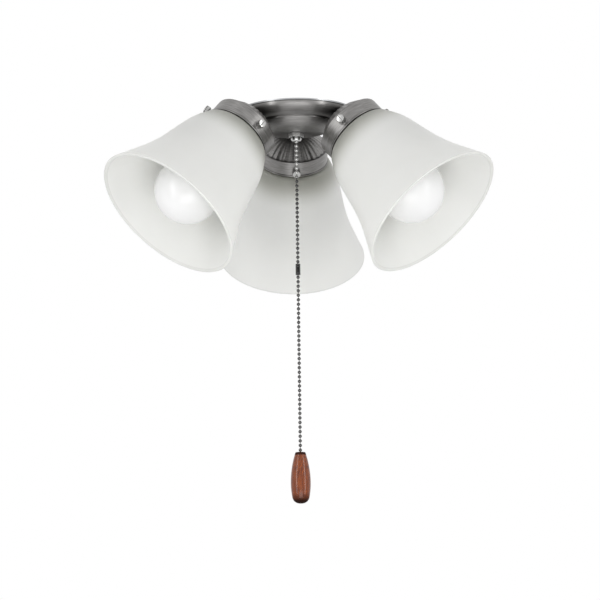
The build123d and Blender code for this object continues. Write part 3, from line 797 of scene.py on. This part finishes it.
class KIT_OT_stage(bpy.types.Operator):
    """Adds the floor, the lights, the world and the camera"""

    bl_idname = "kit.stage"
    bl_label = "Stage"

    def execute(self, context):
        stage = context.scene.kit_stage
        self.add_floor(stage)
        self.add_world(stage)
        self.add_lights(stage)
        self.add_camera(stage)
        context.scene.view_settings.view_transform = "Standard"
        return {"FINISHED"}

    def add_floor(self, stage):
        bm = bmesh.new()
        bmesh.ops.create_grid(bm, x_segments=1, y_segments=1, size=stage.floor_size / 2)
        bmesh.ops.translate(bm, vec=(0, 0, -stage.floor_drop), verts=bm.verts)
        mesh = bpy.data.meshes.new("floor")
        bm.to_mesh(mesh)
        bm.free()
        floor = bpy.data.objects.new("floor", mesh)
        bpy.context.scene.collection.objects.link(floor)
        material, tree, shader = base_material("pale floor")
        shader.inputs["Base Color"].default_value = rgba([FLOOR_GREY] * 3)
        shader.inputs["Roughness"].default_value = 0.9
        shader.inputs["Emission Color"].default_value = (1, 1, 1, 1)
        glow = maths(tree, "MULTIPLY", seen_rays(tree), FLOOR_GLOW)
        tree.links.new(glow, shader.inputs["Emission Strength"])
        below = add_node(tree, "ShaderNodeNewGeometry").outputs["Backfacing"]
        camera_ray = add_node(tree, "ShaderNodeLightPath").outputs["Is Camera Ray"]
        hidden = maths(tree, "MULTIPLY", below, camera_ray)
        clear = add_node(tree, "ShaderNodeBsdfTransparent").outputs[0]
        end = next(n for n in tree.nodes if n.type == "OUTPUT_MATERIAL")
        mixed = add_node(tree, "ShaderNodeMixShader", {0: hidden, 1: shader.outputs[0], 2: clear})
        tree.links.new(mixed.outputs[0], end.inputs["Surface"])
        mesh.materials.append(material)

    def add_world(self, stage):
        world = bpy.data.worlds.new("studio")
        world.use_nodes = True
        tree = world.node_tree
        tree.nodes.clear()
        extra = maths(tree, "MULTIPLY", seen_rays(tree), 1 - stage.world)
        strength = maths(tree, "ADD", extra, stage.world)
        sky = add_node(tree, "ShaderNodeBackground", {"Color": (1, 1, 1, 1), "Strength": strength})
        end = add_node(tree, "ShaderNodeOutputWorld")
        tree.links.new(sky.outputs[0], end.inputs["Surface"])
        bpy.context.scene.world = world

    def add_lights(self, stage):
        strip = (stage.strip_width, stage.strip_height)
        lights = (
            ("key strip", stage.key, strip, KEY_SPOT),
            ("fill strip", stage.fill, strip, FILL_SPOT),
            ("front light", stage.front, (FRONT_SIZE, FRONT_SIZE), FRONT_SPOT),
        )
        middle = Vector((0, 0, -stage.look_drop / 2))
        for name, power, size, spot in lights:
            data = bpy.data.lights.new(name, "AREA")
            data.energy = power
            data.shape = "RECTANGLE"
            data.size, data.size_y = size
            light = bpy.data.objects.new(name, data)
            light.location = spot
            light.rotation_euler = (middle - Vector(spot)).to_track_quat("-Z", "Y").to_euler()
            bpy.context.scene.collection.objects.link(light)

    def add_camera(self, stage):
        turn = stage.camera_turn
        right = Vector((cos(turn), sin(turn), 0))
        forward = Vector((-sin(turn) * cos(stage.camera_rise), cos(turn) * cos(stage.camera_rise), 0))
        forward.z = sin(stage.camera_rise)
        up = right.cross(forward)
        rolled_right = right * cos(stage.camera_roll) + up * sin(stage.camera_roll)
        rolled_up = up * cos(stage.camera_roll) - right * sin(stage.camera_roll)
        matrix = Matrix((rolled_right, rolled_up, -forward)).transposed().to_4x4()
        target = right * stage.look_aside + Vector((0, 0, -stage.look_drop))
        matrix.translation = target - forward * stage.camera_distance
        data = bpy.data.cameras.new("camera")
        data.lens = stage.focal
        data.sensor_width = SENSOR_WIDTH
        data.clip_end = CLIP_END
        camera = bpy.data.objects.new("camera", data)
        camera.matrix_world = matrix
        bpy.context.scene.collection.objects.link(camera)
        bpy.context.scene.camera = camera


class KIT_OT_pan(bpy.types.Operator):
    """Builds the stepped pan and dresses its cover plate and fasteners"""

    bl_idname = "kit.pan"
    bl_label = "Pan"

    def execute(self, context):
        bright = bright_nickel("bright nickel", context.scene.kit_finish.zinc, bump=0.04)
        for node, kind in (
            ("pan", pan_nickel()),
            ("cover_plate", zinc()),
            ("center_nipple", zinc()),
            ("cover_screws", bright),
            ("nipple_nut", zinc()),
            ("nipple_star_washer", zinc()),
            ("arm_studs", zinc()),
            ("arm_collars", brushed_nickel("brushed nickel", grain=0.45)),
            ("arm_star_washers", zinc()),
            ("arm_nuts", zinc()),
        ):
            dress(node, "_finished", kind)
        return {"FINISHED"}


class KIT_OT_fitters(bpy.types.Operator):
    """Builds the three fluted fitters with their bands, beads and screw bosses"""

    bl_idname = "kit.fitters"
    bl_label = "Fitters"

    def execute(self, context):
        arm = context.scene.kit_arm
        brushed = brushed_nickel("brushed nickel", grain=0.45)
        for name in ARMS:
            label = "fitter_" + name
            fitter = make_object(label + "_body", self.shell(arm), fitter_nickel(), arm_matrix(name))
            stand_for(fitter, label, "kit")
            for index in range(SCREWS_PER_FITTER):
                label = f"boss_{name}_{index + 1}"
                boss = make_object(label, self.boss(arm), brushed, screw_matrix(name, index))
                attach(boss, "kit")
        return {"FINISHED"}

    def shell(self, arm):
        """The fluted dome, the ledge, the band and the rolled bead as one thin shell."""
        shoulder = arm.fitter_height - arm.band_height
        wide = arm.fitter_radius - arm.dome_edge
        dome = []
        for across, down in DOME_SIDE:
            radius = arm.dome_flat + (wide - arm.dome_flat) * across
            dome.append((radius, arm.collar + (shoulder - arm.collar) * down))
        outer = rounded(dome, DOME_BEND, 5)
        bead_low = arm.fitter_height - arm.bead_height
        bead_radius = arm.fitter_radius + arm.bead_stand
        bead_middle = (bead_radius, (bead_low + arm.fitter_height) / 2)
        band = [(wide, shoulder), (arm.fitter_radius, shoulder + arm.dome_edge / 4)]
        band += [(arm.fitter_radius, bead_low - arm.dome_edge * i / 2) for i in (8, 4, 0)]
        bead = arc((arm.fitter_radius, bead_low), bead_middle, (arm.fitter_radius, arm.fitter_height), 8)
        bore = arm.fitter_radius - arm.fitter_sheet
        inset = arm.fitter_sheet + arm.flute_depth
        inner = [(bore, arm.fitter_height), (bore, shoulder + arm.dome_edge)]
        inner += [(r - inset, z + arm.fitter_sheet) for r, z in outer[::-1]]
        inner += [(0, arm.collar + arm.fitter_sheet)]
        outline = [(0, arm.collar)] + outer + band[1:] + bead[1:] + inner
        bm = lathe(outline, arm.flutes * FACETS_PER_FLUTE, closed=False)
        low = arm.collar + arm.fitter_sheet / 4
        for vert in bm.verts:
            radius = vert.co.xy.length
            if not arm.dome_flat + MERGE <= radius <= wide + MERGE:
                continue
            if not low < vert.co.z < shoulder + MERGE:
                continue
            if radius < self.outer_radius(outer, vert.co.z) - arm.flute_depth / 2:
                continue
            turn = atan2(vert.co.y, vert.co.x)
            groove = (0.5 - 0.5 * cos(arm.flutes * turn)) ** FLUTE_POWER
            vert.co.xy *= (radius - arm.flute_depth * groove) / radius
        return bm

    def outer_radius(self, outer, height):
        """The dome's outside radius at a height."""
        for (r1, z1), (r2, z2) in zip(outer, outer[1:]):
            if z1 <= height <= z2 and z2 > z1:
                return r1 + (r2 - r1) * (height - z1) / (z2 - z1)
        return outer[-1][0]

    def boss(self, arm):
        """A small round boss that the screw passes through."""
        low = arm.fitter_radius - arm.fitter_sheet
        high = arm.fitter_radius + arm.boss_stand
        hole = arm.shank_radius * BOSS_PLAY
        soft = arm.boss_stand / 3
        outline = [
            (hole, low),
            (arm.boss_radius, low),
            (arm.boss_radius, high - soft),
            (arm.boss_radius - soft, high),
            (hole + soft, high),
            (hole, high - soft),
        ]
        return lathe(outline, BOSS_FACETS)


class KIT_OT_thumb_screws(bpy.types.Operator):
    """Builds the nine slotted thumb screws"""

    bl_idname = "kit.thumb_screws"
    bl_label = "Thumb Screws"

    def execute(self, context):
        arm, shade = context.scene.kit_arm, context.scene.kit_shade
        for name in ARMS:
            for index in range(SCREWS_PER_FITTER):
                bm = self.screw(arm, shade)
                label = f"thumb_screw_{name}_{index + 1}"
                piece = make_object(label + "_turned", bm, screw_nickel(), screw_matrix(name, index))
                stand_for(piece, label, f"screw_{name}_{index + 1}")
        return {"FINISHED"}

    def screw(self, arm, shade):
        """Tip, ridged thread, neck and a ridged knob with a slot, along Z from the arm's axis."""
        tip = shade.neck_radius + CLEARANCE
        seat = arm.fitter_radius + arm.boss_stand + CLEARANCE
        low = seat + arm.knob_neck
        high = low + arm.knob_length
        soft = arm.knurl_depth
        outline = [(0, tip), (arm.shank_radius - arm.thread_depth, tip)]
        turns = int((seat - tip) / arm.thread_pitch)
        for i in range(turns):
            start = tip + (i + THREAD_START) * arm.thread_pitch
            outline.append((arm.shank_radius - arm.thread_depth, start))
            outline.append((arm.shank_radius, start + arm.thread_pitch * THREAD_FLANK))
        outline += [
            (arm.shank_radius - arm.thread_depth, seat),
            (arm.knob_neck_radius, seat),
            (arm.knob_neck_radius, low),
            (arm.knob_radius - soft, low),
            (arm.knob_radius, low + soft),
            (arm.knob_radius, high - soft),
            (arm.knob_radius - soft, high - soft / 4),
            (arm.knob_radius - 2 * soft, high),
            (0, high),
        ]
        bm = lathe(outline, arm.knurls * FACETS_PER_KNURL, closed=False)
        for vert in bm.verts:
            radius = vert.co.xy.length
            if radius > arm.knob_radius - MERGE:
                turn = atan2(vert.co.y, vert.co.x)
                groove = 0.5 - 0.5 * cos(arm.knurls * turn)
                vert.co.xy *= (radius - arm.knurl_depth * groove) / radius
        cutter = bmesh.new()
        bmesh.ops.create_cube(cutter, size=1)
        slot = (4 * arm.knob_radius, arm.knob_slot, 2 * arm.knob_slot)
        bmesh.ops.scale(cutter, vec=slot, verts=cutter.verts)
        bmesh.ops.translate(cutter, vec=(0, 0, high), verts=cutter.verts)
        return carved(bm, cutter)


class KIT_OT_shades(bpy.types.Operator):
    """Builds the three frosted bell shades"""

    bl_idname = "kit.shades"
    bl_label = "Shades"

    def execute(self, context):
        arm, shade = context.scene.kit_arm, context.scene.kit_shade
        for name in ARMS:
            label = "shade_" + name
            bm = self.bell(arm, shade)
            glass = make_object(label + "_glass", bm, frosted_glass(), arm_matrix(name), sharp=50)
            stand_for(glass, label, "kit")
        return {"FINISHED"}

    def side(self, arm, shade, inset):
        """(radius, height) points down the bell, moved in by inset."""
        top = arm.fitter_height + shade.shoulder_gap
        reach = shade.reach - top
        points = [
            (shade.shoulder_radius - inset, top + inset),
            (shade.hip_radius - inset, top + reach * shade.hip),
            (shade.flare_radius - inset, top + reach * shade.flare),
            (shade.mouth_radius - inset, shade.reach - shade.lip_round),
        ]
        return rounded(points, shade.bend, 10)

    def bell(self, arm, shade):
        """Neck, shoulder, waist, flare and a rounded mouth, as one closed wall."""
        top = arm.fitter_height + shade.shoulder_gap
        screw_level = arm.fitter_height - arm.screw_up
        lip_low = screw_level - arm.shank_radius - CLEARANCE
        lip_high = lip_low - shade.neck_lip_height
        outer = self.side(arm, shade, 0)
        inner = self.side(arm, shade, shade.glass)
        middle = (shade.mouth_radius - shade.glass / 2, shade.reach)
        mouth = arc(outer[-1], middle, inner[-1], 8)
        bore = shade.neck_radius - shade.glass
        soft = shade.lip_round / 2
        neck = [
            (bore, top + shade.glass),
            (bore, lip_high + soft),
            (bore + soft, lip_high),
            (shade.neck_lip_radius - soft, lip_high),
            (shade.neck_lip_radius, lip_high + soft),
            (shade.neck_lip_radius, lip_low - soft),
            (shade.neck_lip_radius - soft, lip_low),
            (shade.neck_radius, lip_low),
            (shade.neck_radius, top - soft),
            (shade.neck_radius + soft, top),
        ]
        shoulder = rounded([neck[-1], (shade.shoulder_radius - soft, top), outer[1]], 0.5, 5)
        outline = shoulder[1:-1] + outer[1:] + mouth[1:-1] + inner[::-1] + neck
        return lathe(outline, shade.steps)


class KIT_OT_lamps(bpy.types.Operator):
    """Builds the three lamps and dresses their holders"""

    bl_idname = "kit.lamps"
    bl_label = "Lamps"

    def execute(self, context):
        shade, finish = context.scene.kit_shade, context.scene.kit_finish
        for name in ARMS:
            matrix = arm_matrix(name)
            label = "lamp_globe_" + name
            globe = make_object(label + "_glass", self.globe(shade), lamp_glass(), matrix)
            stand_for(globe, label, "lamp_" + name)
            dress("lamp_cap_" + name, "_metal", aluminium(), "lamp_" + name, matrix)
            for node, kind in (
                ("lamp_holder_", moulded("holder white", finish.white, 0.45)),
                ("screw_shell_", brass()),
                ("center_contact_", brass()),
            ):
                dress(node + name, "_finished", kind, matrix=matrix)
        return {"FINISHED"}

    def globe(self, shade):
        """The ball and its neck as one thin wall."""
        outline = []
        for inset in (0, shade.globe_wall):
            radius = shade.globe_radius - inset
            join = shade.globe_join
            meet = (radius * cos(join), shade.globe_centre - radius * sin(join))
            neck = (shade.globe_neck_radius - inset, shade.lamp_neck)
            side = tangent_arc(meet, neck, (-sin(join), -cos(join)), 14)[::-1]
            turns = [-join + (join + pi / 2) * i / BALL_STEPS for i in range(BALL_STEPS + 1)]
            ball = [(radius * cos(t), shade.globe_centre + radius * sin(t)) for t in turns]
            ball[-1] = (0, shade.globe_centre + radius)
            path = side + ball[1:]
            outline = path if inset == 0 else outline + path[::-1]
        return lathe(outline, FACETS)


class KIT_OT_switch(bpy.types.Operator):
    """Dresses the pull switch, its outlet and its spring"""

    bl_idname = "kit.switch"
    bl_label = "Pull Switch"

    def execute(self, context):
        finish = context.scene.kit_finish
        black = moulded("switch black", finish.black, 0.5)
        for node, kind in (
            ("switch_case", black),
            ("switch_cover", black),
            ("switch_bushing", bright_nickel("bright nickel", finish.zinc, bump=0.04)),
            ("outlet_nut", outlet_nickel()),
        ):
            dress(node, "_finished", kind)
        spring = dress("switch_spring", "_finished", zinc(own=False))
        # the spring stands on the well's floor, and the plunger presses it down
        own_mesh(spring)
        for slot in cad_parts["switch_plunger"].material_slots:
            slot.material = brass(own=False)
        return {"FINISHED"}


class KIT_OT_chain(bpy.types.Operator):
    """Builds the bead chain and dresses its connector"""

    bl_idname = "kit.chain"
    bl_label = "Bead Chain"

    def execute(self, context):
        chain = context.scene.kit_chain
        swing = chain.first_bead + (chain.entry_beads - 1) * chain.bead_pitch
        top_joint = swing + chain.upper_beads * chain.bead_pitch
        low_joint = top_joint + chain.joint_gap
        runs = (
            ("chain_entry", "plunger", chain.first_bead, chain.entry_beads),
            ("upper_chain", "chain_upper", swing + chain.bead_pitch, chain.upper_beads),
            ("lower_chain", "chain_lower", low_joint, chain.lower_beads + 1),
        )
        for node, body, first, beads in runs:
            low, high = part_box(node)
            bm = self.run(chain, first, beads, low[2], high[2])
            stand_for(make_object(node + "_beads", bm, chain_steel(), sharp=60), node, body)
        dress("chain_connector", "_sleeve", chain_steel(), "chain_joiner")
        return {"FINISHED"}

    def run(self, chain, first, beads, low, high):
        """Round beads on a thin wire that reaches from low to high."""
        bm = bmesh.new()
        for i in range(beads):
            spot = Matrix.Translation((0, 0, -(first + i * chain.bead_pitch)))
            bmesh.ops.create_uvsphere(
                bm, u_segments=18, v_segments=12, radius=chain.bead_radius, matrix=spot
            )
        wire = Matrix.Translation((0, 0, (low + high) / 2))
        bmesh.ops.create_cone(
            bm,
            cap_ends=True,
            segments=10,
            radius1=chain.link_radius,
            radius2=chain.link_radius,
            depth=high - low,
            matrix=wire,
        )
        return bm


class KIT_OT_pull(bpy.types.Operator):
    """Builds the turned wooden pull and dresses its metal cup"""

    bl_idname = "kit.pull"
    bl_label = "Wooden Pull"

    def execute(self, context):
        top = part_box("wooden_pull")[1][2]
        turned = self.pull(context.scene.kit_chain, top)
        stand_for(make_object("wooden_pull_turned", turned, stained_wood()), "wooden_pull", "pull")
        dress("pull_ferrule", "_cup", brass(), "pull")
        return {"FINISHED"}

    def pull(self, chain, top):
        """Slim top, full belly and a rounded end with a small flat foot; the cup's hole is in its top."""
        bottom = top - chain.pull_length
        belly = (chain.pull_belly_radius, top - chain.pull_length * chain.pull_belly)
        hip = (chain.pull_hip_radius, top - chain.pull_length * chain.pull_hip)
        soft = chain.pull_edge_round
        edge = (chain.pull_top_radius, top - soft / 2)
        upper = tangent_arc(belly, edge, (0, 1), 20)
        lower = tangent_arc(belly, hip, (0, -1), 12)
        turn = (chain.pull_hip_radius * FOOT_WIDTH, bottom)
        foot = rounded([hip, turn, (0, bottom)], chain.pull_foot_bend, 12)
        mouth = [(chain.pull_top_radius - soft / 2, top), (chain.pull_bore, top)]
        mouth += [(chain.pull_bore, top - chain.pull_bore_depth), (0, top - chain.pull_bore_depth)]
        outline = foot[:0:-1] + lower[::-1] + upper[1:] + mouth
        return lathe(outline, FACETS, closed=False)


class KIT_PT_panel(bpy.types.Panel):
    bl_idname = "KIT_PT_panel"
    bl_label = "Light Kit"
    bl_space_type = "VIEW_3D"
    bl_region_type = "UI"
    bl_category = "Light Kit"

    def draw(self, context):
        for operator in OPERATORS:
            self.layout.operator(operator.bl_idname)
        for label, group in GROUPS.items():
            box = self.layout.box()
            box.label(text=group.__doc__.split(".")[0])
            values = getattr(context.scene, label)
            for name in group.__annotations__:
                box.prop(values, name)


OPERATORS = (
    KIT_OT_stage,
    KIT_OT_pan,
    KIT_OT_fitters,
    KIT_OT_thumb_screws,
    KIT_OT_shades,
    KIT_OT_lamps,
    KIT_OT_switch,
    KIT_OT_chain,
    KIT_OT_pull,
)
GROUPS = {
    "kit_arm": ArmSizes,
    "kit_shade": ShadeSizes,
    "kit_chain": ChainSizes,
    "kit_finish": Finishes,
    "kit_stage": StageSettings,
}


def register():
    for group in GROUPS.values():
        bpy.utils.register_class(group)
    for operator in OPERATORS:
        bpy.utils.register_class(operator)
    bpy.utils.register_class(KIT_PT_panel)
    for label, group in GROUPS.items():
        setattr(bpy.types.Scene, label, PointerProperty(type=group))


def unregister():
    for label in GROUPS:
        delattr(bpy.types.Scene, label)
    bpy.utils.unregister_class(KIT_PT_panel)
    for operator in reversed(OPERATORS):
        bpy.utils.unregister_class(operator)
    for group in reversed(GROUPS.values()):
        bpy.utils.unregister_class(group)


def main():
    register()
    bpy.ops.kit.stage()
    bpy.ops.kit.pan()
    bpy.ops.kit.fitters()
    bpy.ops.kit.thumb_screws()
    bpy.ops.kit.shades()
    bpy.ops.kit.lamps()
    bpy.ops.kit.switch()
    bpy.ops.kit.chain()
    bpy.ops.kit.pull()


if __name__ == "__main__":
    main()
